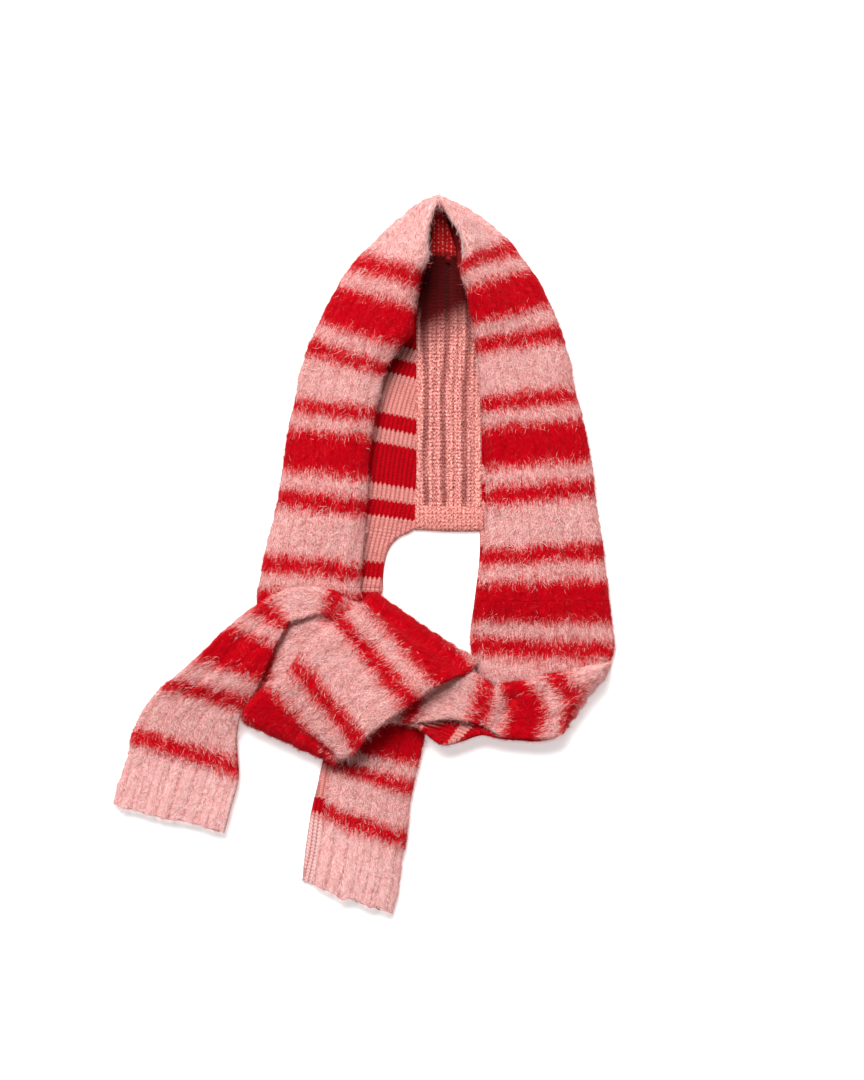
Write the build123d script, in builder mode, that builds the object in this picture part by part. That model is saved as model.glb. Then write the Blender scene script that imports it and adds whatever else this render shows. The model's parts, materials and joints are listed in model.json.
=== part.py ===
"""A knitted hooded scarf, lying flat on its back with its two tails tied once.

The scarf band is one long knitted strip, folded in half lengthwise. It runs over the crown, down both
sides of the hood, and on into two tails. The left tail folds back over the right tail and down again,
which is the half knot. A ribbed gusset closes the back of the hood, and a turned hem ends it at the neck.

Layout frame, in millimetres: x = 0 on the gusset's centre line, y = 0 at the neck line where the hood
ends and the tails begin, and z = 0 on the table. Everything is moved at the end, so that the origin is
at the bottom centre of the whole object.
"""

from build123d import *

import math
import os

# ---- driving dimensions ----
KNIT = 7.0  # one layer of brushed knit, pile included
FOLD_RADIUS = 12.0  # outer radius where the band folds lengthwise in the hood
TAIL_THICKNESS = 18.0  # two layers of knit lying on each other, with the air between them
LAYER_GAP = 0.5  # clearance between the tails' levels in the knot
EDGE_RADIUS = 6.0  # rounding of a tail's long edges
BAND_WIDTH = 124.0  # the band's folded width at the neck, which sets the knot's size too
HOOD_LENGTH = 391.0  # neck line to the crown's outline
GUSSET_WIDTH = 61.0
HEM_HEIGHT = 22.0  # the neck hem, along the gusset
SEAM_WIDTH = 5.0  # a linked seam, edge to edge
SEAM_CLEARANCE = 0.3  # between the seam, the gusset's hem and what they are linked to
SEAM_HEIGHT = 9.0
CUFF_LENGTH = 58.0  # the ribbed end of each tail
BEND = 9.0  # how far a flat fold stands out past the two layers that it joins
HINGE_GAP = 0.4  # clearance where a tail's free end bends up

# ---- values worked out from them ----
STRETCH = HOOD_LENGTH / 391.0  # the hood's stations are listed for a hood of 391
WIDE = BAND_WIDTH / 124.0  # the band's stations are listed for a band of 124
SIDE = GUSSET_WIDTH / 2
LEVEL = TAIL_THICKNESS + LAYER_GAP  # height of one level in the knot
HEM_TOP = 82.0 * STRETCH  # where the gusset's ribs end and its hem begins

# ---- hood stations, from the neck line up to the crown ----
# Each is (y of the seam, how far the seam lies in from the gusset's edge, reach from the seam to the
# lengthwise fold, lean of that line above straight sideways in degrees, distance from the seam to the
# band's front edge, height of the front edge).
LEFT_HOOD = [
    (0, -34, 124, 1, 19, 26),
    (28, -31, 122, 2, 27, 27),
    (82, -4, 137, 8, 49, 28),
    (120, 0, 135, 9, 50, 29),
    (180, 0, 123, 4, 40, 33),
    (230, 0, 105, 8, 27, 38),
    (267, 0, 86, 17, 6, 46),
    (305, 5, 67, 23, 6, 54),
]
RIGHT_HOOD = [
    (-13, 5, 133, 0, 5, 26),
    (32, 0, 123, 0, 5, 27),
    (82, 0, 117, 2, 6, 28),
    (135, 0, 109, 5, 6, 29),
    (183, 0, 97, 8, 6, 33),
    (240, 0, 80, 12, 6, 38),
    (278, 7, 70, 18, 6, 46),
    (310, 18, 58, 33, 9, 54),
]
# Over the crown: (x as a share of the gusset's half width, y, reach, direction in degrees from +X,
# front edge, height)
CROWN_TOP = [
    (-0.65, 325, 51, 119, 29, 62),
    (-0.33, 328, 63, 93, 50, 66),
    (0.07, 326, 52, 64, 33, 62),
]

# ---- lines across the band where one length of it meets the next ----
LOWER_LINE = ((-199, -126), (-112, -166))
UPPER_LINE = ((-83, -8), (23, -75))
CORNER_LINE = ((93, -140), (154, -67))
KNOT_LINE = ((6, -92), (-26, -134))
BEND_LINE = ((-110, -6), (-154, -110))
LEFT_HINGE = ((-122, -191), (-30, -198))
RIGHT_HINGE = ((-308, -128), (-213, -167))
UNDER_SHARE = (0.22, 0.94)  # the share of the upper line that the left tail passes under

# ---- tail stations ----
# Each is (end A of a line across the tail, end B of it, height of the tail's underside in levels).
LEFT_FALL = [
    ((-191, -22), (-88, -16), 0),
    ((-196, -75), (-95, -90), 0),
    (*LOWER_LINE, 0),
]
WRAP = [
    (*LOWER_LINE, 1),
    ((-184, -112), (-90, -155), 2),
    ((-147, -65), (-52, -132), 2.05),
    ((-94, -17), (12, -84), 2),
    (*UPPER_LINE, 1),
]
LEFT_LEAD = [
    ((-78, -70), (-4, -100), 0),
    ((-98, -145), (-23, -152), 0),
    (*LEFT_HINGE, 0),
]
LEFT_END = [(*LEFT_HINGE, 0), ((-131, -243), (-44, -267), 0)]
RIGHT_FALL = [
    ((27, -40), (164, -40), 0),
    ((29, -62), (163, -60), 0),
    ((40, -114), (156, -63), 0),
    (*CORNER_LINE, 0),
]
RIGHT_TURN = [
    (CORNER_LINE[1], CORNER_LINE[0], 1),
    ((103, -78), (70, -145), 1),
    ((65, -90), (48, -141), 1),
    ((38, -90), (22, -148), 1),
    ((20, -85), (-10, -148), 1),
    (*KNOT_LINE, 1),
]
RIGHT_PASS = [
    (*KNOT_LINE, 1),
    ((-50, -50), (-70, -138), 1),
    ((-98, -20), (-120, -126), 1),
    (*BEND_LINE, 1),
]
RIGHT_BEND = [
    (*BEND_LINE, 1),
    ((-144, -3), (-180, -104), 1),
    ((-178, -12), (-200, -108), 1),
    ((-210, -34), (-212, -132), 1),
    ((-250, -62), (-214, -152), 0.2),
    ((-284, -90), (-214, -160), 0),
    (*RIGHT_HINGE, 0),
]
RIGHT_END = [(*RIGHT_HINGE, 0), ((-320, -159), (-213, -189), 0)]

# Which way the knot's flat folds bulge, in degrees
LOWER_FACING = 245
UPPER_FACING = 57
CORNER_FACING = -40


def polar(point, degrees, distance):
    """A point moved some distance in a direction, in plan."""
    turn = math.radians(degrees)
    return (point[0] + distance * math.cos(turn), point[1] + distance * math.sin(turn))


def share_of(line, start, end):
    """A part of a line, from one share of its length to another."""
    (ax, ay), (bx, by) = line
    return tuple((ax + (bx - ax) * share, ay + (by - ay) * share) for share in (start, end))


def section_plane(a, b, height):
    """The upright plane through a line across a strip, with its origin at the line's middle."""
    along = Vector(b[0] - a[0], b[1] - a[1], 0)
    origin = ((a[0] + b[0]) / 2, (a[1] + b[1]) / 2, height)
    return Plane(origin=origin, x_dir=along, z_dir=along.cross(Vector(0, 0, 1)))


def strip(stations, thickness, edge):
    """A closed flat strip through its stations, with rounded long edges."""
    with BuildPart() as piece:
        for a, b, base in stations:
            width = math.dist(a, b)
            with BuildSketch(section_plane(a, b, base + thickness / 2)):
                RectangleRounded(width, thickness, edge)
        loft(ruled=True)
    return piece


def placed(station):
    """A listed station at its real size: two points, and the height of the tail's underside."""
    a, b, level = station
    return tuple(c * WIDE for c in a), tuple(c * WIDE for c in b), level * LEVEL


def stood_back(line, neighbour, gap):
    """A station line moved towards its neighbour, where a hinge needs clearance."""
    steps = [(n[0] - p[0], n[1] - p[1]) for p, n in zip(line[:2], neighbour[:2])]
    share = gap / max(math.hypot(*step) for step in steps)
    a, b = (tuple(c + s * share for c, s in zip(p, step)) for p, step in zip(line[:2], steps))
    return a, b, line[2]


def tail(lines, first_gap=0.0, last_gap=0.0):
    """A stretch of tail through its station lines."""
    lines = list(lines)
    if first_gap:
        lines[0] = stood_back(lines[0], lines[1], first_gap)
    if last_gap:
        lines[-1] = stood_back(lines[-1], lines[-2], last_gap)
    return strip(lines, TAIL_THICKNESS, EDGE_RADIUS)


def flat_fold(line, facing):
    """The bend that joins two levels of the knot, beside a line across the tail."""
    a, b, _ = placed((*line, 0))
    outward = (math.cos(math.radians(facing)), math.sin(math.radians(facing)))
    with BuildPart() as bend:
        with BuildSketch():
            with BuildLine():
                Polyline(a, b, polar(b, facing, BEND), polar(a, facing, BEND), close=True)
            make_face()
        extrude(amount=TAIL_THICKNESS + LEVEL)
        walls = bend.faces().filter_by(lambda f: abs(f.normal_at().Z) < 0.5)
        outer = walls.sort_by(lambda f: f.center().X * outward[0] + f.center().Y * outward[1])[-1]
        fillet([e for e in outer.edges() if abs((e % 0.5).Z) < 0.5], BEND * 0.9)
    return bend


def hood_section(seam, reach, facing, front, height):
    """The band's section in the hood, on the upright plane from the seam out to the lengthwise fold.

    The back layer lies on the table, the fold is round, and the front layer rises to the front edge.
    """
    inner = FOLD_RADIUS - KNIT
    centre = Vector(reach - FOLD_RADIUS, FOLD_RADIUS)
    to_front = Vector(front, height) - centre
    bearing = math.degrees(math.atan2(to_front.Y, to_front.X))
    out = bearing - math.degrees(math.acos(FOLD_RADIUS / to_front.length))

    def around(radius, degrees):
        return centre + Vector(radius, 0).rotate(Axis.Z, degrees)

    tangent = Vector(1, 0).rotate(Axis.Z, out)
    forward = Vector(1, 0).rotate(Axis.Z, out + 90)
    tip = Vector(front, height)
    under_tip = tip - tangent * KNIT
    nose = (tip + under_tip) * 0.5 + forward * (KNIT / 2)
    middle = (out - 90) / 2
    start = SEAM_WIDTH / 2
    plane = Plane(
        origin=(*seam, 0),
        x_dir=(math.cos(math.radians(facing)), math.sin(math.radians(facing)), 0),
        z_dir=(math.sin(math.radians(facing)), -math.cos(math.radians(facing)), 0),
    )
    with BuildSketch(plane) as section:
        with BuildLine():
            Line((start, 0), around(FOLD_RADIUS, -90))
            ThreePointArc(around(FOLD_RADIUS, -90), around(FOLD_RADIUS, middle), around(FOLD_RADIUS, out))
            Line(around(FOLD_RADIUS, out), tip)
            ThreePointArc(tip, nose, under_tip)
            Line(under_tip, around(inner, out))
            ThreePointArc(around(inner, out), around(inner, middle), around(inner, -90))
            Line(around(inner, -90), (start, KNIT))
            Line((start, KNIT), (start, 0))
        make_face()
    return section.sketch


def left_station(y, inset, reach, lean, front, height):
    """A left-hand hood station as (seam, reach, facing, front, height)."""
    return (-SIDE + inset, y * STRETCH), reach * WIDE, 180 - lean, front, height


def right_station(y, inset, reach, lean, front, height):
    """A right-hand hood station as (seam, reach, facing, front, height)."""
    return (SIDE - inset, y * STRETCH), reach * WIDE, lean, front, height


def crown_station(x_share, y, reach, facing, front, height):
    """A crown station as (seam, reach, facing, front, height)."""
    return (x_share * SIDE, y * STRETCH), reach * WIDE, facing, front, height


def neck_line(station):
    """The line across the band at the foot of the hood, as a tail station on the table."""
    seam, reach, facing, *_ = station
    return polar(seam, facing, reach), seam, 0


LEFT = [left_station(*s) for s in LEFT_HOOD]
RIGHT = [right_station(*s) for s in RIGHT_HOOD]
CROWN = [crown_station(*s) for s in CROWN_TOP]


def hood_band(stations):
    """A stretch of the folded band in the hood."""
    sections = [hood_section(*station) for station in stations]
    with BuildPart() as piece:
        add(sections)
        loft(ruled=True)
    return piece


def seam_bead(stations):
    """A linked seam, which stands up between the gusset and the band."""
    half = SEAM_WIDTH / 2 - SEAM_CLEARANCE
    lines = []
    for seam, _, facing, *_ in stations:
        lines.append((polar(seam, facing + 180, half), polar(seam, facing, half), 0))
    return strip(lines, SEAM_HEIGHT, half * 0.9)


def above_hem(stations):
    """The stations from the hem up, where the gusset is."""
    return [s for s in stations if s[0][1] >= HEM_TOP]


def gusset_edge(stations):
    """The gusset's own edge beside a run of seam."""
    return [polar(seam, facing + 180, SEAM_WIDTH / 2) for seam, _, facing, *_ in stations]


def back_gusset():
    """The ribbed panel down the back of the hood, from the crown to the hem."""
    right = reversed(gusset_edge(above_hem(RIGHT)))
    outline = [*gusset_edge(above_hem(LEFT)), *gusset_edge(CROWN), *right]
    with BuildPart() as piece:
        with BuildSketch():
            with BuildLine():
                Polyline(*outline, close=True)
            make_face()
        extrude(amount=KNIT)
    return piece


def seam_x(stations, y):
    """Where the band's seam line crosses a given y, near the neck."""
    low = [s for s in stations if s[0][1] <= y][-1][0]
    high = [s for s in stations if s[0][1] > y][0][0]
    return low[0] + (high[0] - low[0]) * (y - low[1]) / (high[1] - low[1])


def neck_hem():
    """The turned hem below the gusset, linked to the band at both ends, with a rounded lower edge."""
    past_seam = SEAM_WIDTH / 2 - SEAM_CLEARANCE
    foot = HEM_TOP - HEM_HEIGHT
    corners = [(SIDE - SEAM_WIDTH / 2, HEM_TOP - SEAM_WIDTH / 2), (seam_x(RIGHT, foot) + past_seam, foot)]
    corners += [(seam_x(LEFT, foot) - past_seam, foot), (SEAM_WIDTH / 2 - SIDE, HEM_TOP - SEAM_WIDTH / 2)]
    with BuildPart() as piece:
        with BuildSketch():
            with BuildLine():
                Polyline(*corners, close=True)
            make_face()
        extrude(amount=SEAM_HEIGHT)
        lower = piece.faces().filter_by(Axis.Y).sort_by(Axis.Y)[0]
        fillet(lower.edges().filter_by(Axis.X), SEAM_HEIGHT * 0.4)
    return piece


def joined(*parts):
    """One piece made of several lengths that meet face to face."""
    with BuildPart() as piece:
        add([p.part for p in parts])
    return piece


def cuff(lines):
    """The ribbed end of a tail, which carries on from the tail's last station line."""
    (before_a, before_b, _), (a, b, base) = lines[-2:]
    step = (a[0] + b[0] - before_a[0] - before_b[0], a[1] + b[1] - before_a[1] - before_b[1])
    heading = math.degrees(math.atan2(step[1], step[0]))
    return tail([(a, b, base), (polar(a, heading, CUFF_LENGTH), polar(b, heading, CUFF_LENGTH), base)])


def lines_of(stations):
    """A list of tail stations at their real size."""
    return [placed(station) for station in stations]


lead_start = placed((*share_of(UPPER_LINE, *UNDER_SHARE), 0))
left_end = lines_of(LEFT_END)
right_end = lines_of(RIGHT_END)
right_neck_a, right_neck_b, _ = neck_line(RIGHT[0])
crown_stations = [LEFT[-1], *CROWN, RIGHT[-1]]

pieces = {
    "crown_band": hood_band(crown_stations),
    "hood_left_side": hood_band(LEFT),
    "hood_right_side": hood_band(RIGHT),
    "back_gusset": back_gusset(),
    "neck_hem": neck_hem(),
    "left_gusset_seam": seam_bead(above_hem(LEFT)),
    "crown_seam": seam_bead(crown_stations),
    "right_gusset_seam": seam_bead(above_hem(RIGHT)),
    "left_tail_fall": tail([neck_line(LEFT[0]), *lines_of(LEFT_FALL)]),
    "knot_wrap": joined(
        tail(lines_of(WRAP)),
        flat_fold(LOWER_LINE, LOWER_FACING),
        flat_fold(share_of(UPPER_LINE, *UNDER_SHARE), UPPER_FACING),
    ),
    "left_tail_lead": tail([lead_start, *lines_of(LEFT_LEAD)], last_gap=HINGE_GAP / 2),
    "left_tail_end": tail(left_end, first_gap=HINGE_GAP / 2),
    "left_cuff": cuff(left_end),
    "right_tail_fall": tail([(right_neck_b, right_neck_a, 0), *lines_of(RIGHT_FALL)]),
    "right_tail_turn": joined(tail(lines_of(RIGHT_TURN)), flat_fold(CORNER_LINE, CORNER_FACING)),
    "right_tail_pass": tail(lines_of(RIGHT_PASS)),
    "right_tail_bend": tail(lines_of(RIGHT_BEND), last_gap=HINGE_GAP / 2),
    "right_tail_end": tail(right_end, first_gap=HINGE_GAP / 2),
    "right_cuff": cuff(right_end),
}

boxes = [piece.part.bounding_box() for piece in pieces.values()]
whole = boxes[0]
for box in boxes[1:]:
    whole = whole.add(box)
to_origin = Location((-whole.center().X, -whole.center().Y, -whole.min.Z))
os.makedirs("parts", exist_ok=True)
for name, piece in pieces.items():
    piece.part.move(to_origin)
    piece.part.label = name
    export_step(piece.part, f"parts/{name}.step")
print("origin at", -to_origin.position, "of the layout frame")
print("overall size", whole.size)
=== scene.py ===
"""The looks of a brushed, striped, knitted hooded scarf that lies on its back with its tails tied once.

Every length of the band is a folded sheet of knit, swept through stations. A station gives the
lengthwise fold and the free edges of the folded band at one place, and where that place is along the
knitted stripes. Distances are millimetres in the layout frame: x = 0 on the gusset's centre line, y = 0
at the neck line and z = 0 on the table. to_frame() turns them into metres in the CAD frame.
"""

import json
import math

import bpy
import numpy as np
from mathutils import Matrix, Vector


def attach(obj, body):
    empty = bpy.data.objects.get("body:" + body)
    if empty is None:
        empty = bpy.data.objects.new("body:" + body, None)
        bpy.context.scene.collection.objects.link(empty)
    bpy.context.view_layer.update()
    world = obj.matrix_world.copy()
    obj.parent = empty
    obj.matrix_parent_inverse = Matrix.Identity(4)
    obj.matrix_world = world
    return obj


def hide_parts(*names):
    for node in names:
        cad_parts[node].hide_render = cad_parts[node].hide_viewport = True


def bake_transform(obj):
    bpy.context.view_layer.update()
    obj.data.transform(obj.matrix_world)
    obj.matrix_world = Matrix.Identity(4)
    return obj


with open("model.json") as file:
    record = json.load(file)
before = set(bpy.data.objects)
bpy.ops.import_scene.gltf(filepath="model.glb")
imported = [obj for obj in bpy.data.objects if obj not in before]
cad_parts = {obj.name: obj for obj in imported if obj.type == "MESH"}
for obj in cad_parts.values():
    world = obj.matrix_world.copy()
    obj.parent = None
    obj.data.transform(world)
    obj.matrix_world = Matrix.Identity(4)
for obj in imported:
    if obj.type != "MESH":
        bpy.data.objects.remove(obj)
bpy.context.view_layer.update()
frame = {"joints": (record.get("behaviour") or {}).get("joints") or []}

# ---- the layout frame, placed by the left tail's hinge, which both frames know ----
hinges = {joint["name"]: joint for joint in frame["joints"]}
LEFT_HINGE = (-76, -194.5, 18)  # in the layout frame
ORIGIN = np.array(hinges["left_tail_lift"]["pos_m"]) * 1000 - np.array(LEFT_HINGE)


def to_frame(points):
    """Layout millimetres to metres in the CAD frame."""
    return (np.asarray(points, float) + ORIGIN) / 1000


# ---- sizes ----
KNIT = 6.5  # thickness of one layer of knit
TAIL = 17.0  # the two layers of a tail, with the air between them
EDGE = 14.0  # a tail's height at its free edges
LEVEL = 18.5  # one level of the knot
HOOD_FOLD = 22.0  # height of the band's lengthwise fold in the hood
STEP = 1.8  # mesh spacing on the band
EDGE_DROP, EDGE_REACH = 4.0, 16.0  # how far a free edge rolls in, and over what width
EDGE_FREE = 32.0  # above this height, a free edge rolls in further
GAP_TO_SEAM = 2.5  # from the seam's line to the band's back edge
SIDE = 30.5  # half the gusset's width
GUSSET_TOP, CLIMB_FROM, CLIMB_RUN, CLIMB = 378, 318, 60, 26  # its upper end rises into the crown
HOLLOW_SHADE_FROM, CRIMSON_FROM = 264.0, 330.0  # y where painted shade of the crown's hollow begins, then where the knit turns crimson
HEM_TOP, HEM_FOOT, HEM_SIDE = 82.0, 58.0, 34
HINGE_BEND = 0.022  # how far each side of a tail's hinge its span reaches, in metres

# ---- stripes, in millimetres of knit away from the crown's centre ----
FIRST_STRIPE = 80.0
REPEAT = 160.0
CUFF_START = 1058.0
CUFF_END = 1118.0
LAST_STRIPE = CUFF_START - FIRST_STRIPE + 2
# Where each stripe of a repeat ends, and whether it is red
STRIPES = [(18, True), (34, False), (78, True), (94, False), (112, True), (160, False)]
CUFF_RIB = 12.8  # one rib of a cuff
# The same stripes with brushed edges, as (place in the repeat, how red)
SOFT_STRIPES = [(0.0, 0.6), (0.022, 1.0), (0.095, 1.0), (0.14, 0.0), (0.185, 0.0),
                (0.23, 1.0), (0.47, 1.0), (0.515, 0.0), (0.56, 0.0), (0.605, 1.0),
                (0.685, 1.0), (0.73, 0.0), (0.968, 0.0), (1.0, 0.6)]
FRINGE = 5.0  # how far brushed fibres carry a colour past the edge of its stripe

# ---- stitches, ribs and fibres ----
STITCH, ROW = 4.2, 3.4  # the width and height of one stitch of the gusset and hem
BODY_RIB = 16.0  # one rib of the band's brushed side
COLUMN = 4.5  # one column of stitches on the band's reverse
MOST_FIBRES = 65000  # in one piece
PILE_DENSITY = 1.3  # fibres to a square millimetre
FIBRE_LENGTH = (3.8, 8.5)
FIBRE_WIDTH = 0.21

rng = np.random.default_rng(7)


# ------------------------------------------------------------------ noise
class Noise:
    """Smooth two-dimensional value noise from a seeded lattice, from -1 to 1."""

    def __init__(self, seed):
        self.lattice = np.random.default_rng(seed).uniform(-1, 1, (256, 256))

    def __call__(self, x, y):
        xi, yi = np.floor(x).astype(int), np.floor(y).astype(int)
        fx, fy = x - xi, y - yi
        fx, fy = fx * fx * (3 - 2 * fx), fy * fy * (3 - 2 * fy)
        g = self.lattice
        a, b = g[xi % 256, yi % 256], g[(xi + 1) % 256, yi % 256]
        c, d = g[xi % 256, (yi + 1) % 256], g[(xi + 1) % 256, (yi + 1) % 256]
        return (a * (1 - fx) + b * fx) * (1 - fy) + (c * (1 - fx) + d * fx) * fy


broad, middling, fine, swirl, fringe = (Noise(seed) for seed in (11, 12, 13, 14, 15))


def is_red(s):
    """Whether the knit is red at a distance from the crown."""
    along = np.clip(np.abs(s) - FIRST_STRIPE, -REPEAT / 4, LAST_STRIPE) % REPEAT
    red = np.zeros(along.shape, bool)
    start = 0
    for end, colour in STRIPES:
        if colour:
            red |= (along >= start) & (along < end)
        start = end
    return red


# ------------------------------------------------------------------ stations
# A station is one row of numbers: the fold's base point, the free edge's base point, the way the front
# layer faces, how much shorter the front and back layers are than the line, the height of the fold and
# of the front edge, and the knit's distance from the crown at the fold, front edge and back edge.
# The bow is how far the stripes curve, in the middle of the band.
FOLD, FREE, FACING = slice(0, 3), slice(3, 6), slice(6, 9)
SHORT_FRONT, SHORT_BACK, FOLD_HEIGHT, EDGE_HEIGHT = range(9, 13)
ALONG, BOW = slice(13, 16), 16


def station(fold, free, facing, short=(0, 0), height=(TAIL, EDGE), s=(0, 0, 0), bow=0.0):
    return [*fold, *free, *facing, *short, *height, *s, bow]


def flat(a, b, level, s, up=True, short=(0, 0), thick=TAIL, edge=EDGE, bow=0.0):
    """A station on a level stretch of tail, from the fold at a to the free edges at b.

    The level and s are one number, or one for each end. s may also be (fold, front edge, back edge).
    """
    low, high = (level, level) if np.isscalar(level) else level
    bases = [end * LEVEL + (0 if up else thick) for end in (low, high)]
    s = (s, s) if np.isscalar(s) else s
    s = (*s, s[-1]) if len(s) == 2 else s
    face = (0, 0, 1 if up else -1)
    return station((*a, bases[0]), (*b, bases[1]), face, short, (thick, edge), s, bow)


def roll(a, b, facing, bulges, s_low, s_high, bow=0.0):
    """The stations round a flat fold, from the table to the level above. The bow grows with the climb.

    facing is the bearing that the fold bulges towards, and bulges is how far at the line's two ends.
    """
    outward = np.array([math.cos(math.radians(facing)), math.sin(math.radians(facing)), 0])
    rows = []
    for angle in np.radians(np.arange(-90, 91, 30)):
        rise = (LEVEL + TAIL) / 2 * (1 + math.sin(angle))
        radial = outward * math.cos(angle) + np.array([0, 0, math.sin(angle)])
        out = [outward[:2] * math.cos(angle) * bulge for bulge in bulges]
        points = [(p[0] + reach[0], p[1] + reach[1], rise) for p, reach in zip((a, b), out)]
        share = angle / math.pi + 0.5
        s = [low + (high - low) * share for low, high in zip(s_low, s_high)]
        rows.append(station(*points, -radial, s=(*s, s[-1]), bow=bow * share))
    return rows


def hood(seam, reach, bearing, front, height, s=None):
    """A station in the hood, from the seam out to the lengthwise fold."""
    way = (math.cos(math.radians(bearing)), math.sin(math.radians(bearing)))
    places = (reach, GAP_TO_SEAM, front)
    fold, free, edge = ((seam[0] + way[0] * d, seam[1] + way[1] * d, 0) for d in places)
    if s is None:
        tables = LEFT_STRIPES if seam[0] < 0 else RIGHT_STRIPES
        s = [np.interp(point[1], *zip(*table)) for point, table in zip((fold, edge, free), tables)]
    return station(fold, free, (0, 0, 1), (front - GAP_TO_SEAM, 0), (HOOD_FOLD, height), s)


# Each is (y of the seam, its place in from the gusset's edge, reach to the fold, lean, distance to the
# front edge, the front edge's height).
LEFT_HOOD = [
    (0, -35.5, 123, 1, 25, 24),
    (10, -35.5, 121, 2, 25, 24.5),
    (24, -34, 120, 3, 25, 25),
    (38, -30, 121, 4, 28, 26),
    (46, -25, 124, 5, 32, 26),
    (53, -17, 130, 5, 39, 26),
    (57, -8, 138, 6, 48, 27),
    (62, -1, 144, 6, 55, 27),
    (82, -1, 139, 8, 53, 28),
    (120, 0, 135, 8, 52, 29),
    (180, 0, 123, 6, 43, 33),
    (216, 0, 111, 10, 33, 37),
    (234, 0, 103, 12, 21, 41),
    (249, 0, 96, 14, 9, 44),
    (267, 0, 86, 17, 7, 47),
    (288, 2, 77, 20, 7, 51),
    (305, 6, 67, 23, 7, 55),
]
RIGHT_HOOD = [
    (310, 18, 58, 33, 2, 55),
    (294, 12, 64, 24, 1, 51),
    (278, 7, 70, 18, -1, 47),
    (258, 2, 75, 14, -2, 43),
    (240, 0, 80, 12, -2, 39),
    (183, 0, 97, 8, 4, 33),
    (135, 0, 109, 6, 7, 29),
    (82, 0, 117, 5, 9, 28),
    (32, 0, 123, 3, 6, 27),
    (-13, 5, 133, 0, 3, 25),
]
# Where the stripes cross the fold, the front edge and the back edge: (y, distance from the crown)
LEFT_STRIPES = [
    [(-30, 466), (25, 409), (90, 343), (139, 296), (182, 249),
     (240, 183), (281, 136), (324, 89), (350, 60)],
    [(-30, 456), (16, 409), (79, 343), (130, 296), (174, 249),
     (215, 183), (254, 136), (305, 89), (340, 56)],
    [(-30, 455), (14, 409), (71, 343), (115, 296), (158, 249),
     (213, 183), (252, 136), (301, 89), (340, 53)],
]
RIGHT_FRONT_STRIPES = [(-50, 491), (-14, 456), (31, 409), (90, 343), (141, 296), (182, 249),
                       (240, 183), (277, 136), (320, 89), (345, 62)]
RIGHT_STRIPES = [
    [(-50, 491), (-14, 456), (38, 409), (100, 343), (148, 296), (193, 249),
     (253, 183), (301, 136), (337, 89), (360, 64)],
    RIGHT_FRONT_STRIPES,
    RIGHT_FRONT_STRIPES,
]
left_side = [hood((-SIDE + i, y), r, 180 - lean, f, h) for y, i, r, lean, f, h in LEFT_HOOD]
right_side = [hood((SIDE - i, y), r, lean, f, h) for y, i, r, lean, f, h in RIGHT_HOOD]
crown = [
    hood((-12, 325), 56, 126, 17, 64, (42, 42, 42)),
    hood((-8, 327), 61, 104, 41, 66, (16, 16, 16)),
    hood((-9, 328), 63, 93, 51, 67, (0, 0, 0)),
    hood((-5, 327), 57, 79, 38, 66, (18, 18, 18)),
    hood((2, 326), 52, 64, 24, 63, (42, 42, 42)),
]
left_fall = [
    flat((-201, -116), (-109, -160), 0, (563, 609)),
    flat((-196, -75), (-95, -88), 0, (515, 532)),
    flat((-191, -30), (-82, -26), 0, 468),
]
wrap = [
    flat((-114, -50), (-8, -116), 0.1, (845, 865)),
    *roll((-84, -13), (20, -80), 57, (13, 13), (797, 830), (757, 790)),
    flat((-90, -16), (2, -86), (1.6, 1.8), (750, 774), up=False),
    flat((-102, -27), (-28, -102), (1.9, 2.2), (738, 740), up=False),
    flat((-114, -33), (-47, -116), (2.05, 2.35), 720, up=False),
    flat((-148, -64), (-82, -143), (2.05, 2.35), 672, up=False),
    flat((-158, -79), (-93, -157), (1.85, 2.1), 654, up=False),
    flat((-177, -94), (-107, -165), (1.45, 1.6), (638, 642), up=False),
    *roll((-201, -119), (-109, -164), 245, (14, 14), (566, 612), (604, 639))[::-1],
]
right_fall = [
    flat((164, -59), (24, -56), 0, (500, 503)),
    flat((162, -67), (30, -86), 0, (508, 527)),
]
right_turn = [
    *roll((158, -74), (111, -133), -37, (4, 9), (516, 556), (538, 568), bow=7),
    flat((134, -79), (112, -136), 1.05, (544, 572), up=False, bow=10),
    flat((108, -85), (110, -142), 1.0, (562, 575), up=False, bow=13),
    flat((92, -88), (100, -147), 1.0, (577, 585), up=False, short=(0, 1), bow=14),
    flat((79, -92), (88, -149), 1.0, (589, 594), up=False, short=(0, 2), bow=15),
    flat((63, -95), (68, -148), 0.95, (612, 617), up=False, short=(0, 2), bow=13),
    flat((49, -97), (52, -147), 0.85, (638, 606, 638), up=False, short=(0, 3), bow=8),
    flat((44, -97), (33, -143), 0.88, (656, 618, 654), up=False, short=(0, 9), bow=3),
    flat((31, -86), (12, -149), 0.95, (672, 634, 672), up=False, short=(0, 20)),
    flat((14, -77), (-5, -153), 1.0, (693, 653, 693), up=False, short=(0, 27)),
    flat((-6, -73), (-30, -136), 1.0, (715, 671, 715), up=False, short=(0, 6)),
]
right_pass = [
    flat((-52, -48), (-72, -128), 1.0, 770, up=False),
    flat((-98, -14), (-112, -110), 1.0, 815, up=False),
    flat((-125, -8), (-134, -108), 0.95, (838, 836), up=False),
    flat((-150, -8), (-158, -112), 0.85, (862, 860), up=False),
    flat((-172, -22), (-180, -118), 0.6, (885, 882), up=False),
    flat((-190, -44), (-196, -122), 0.4, (905, 900), up=False),
]
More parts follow.
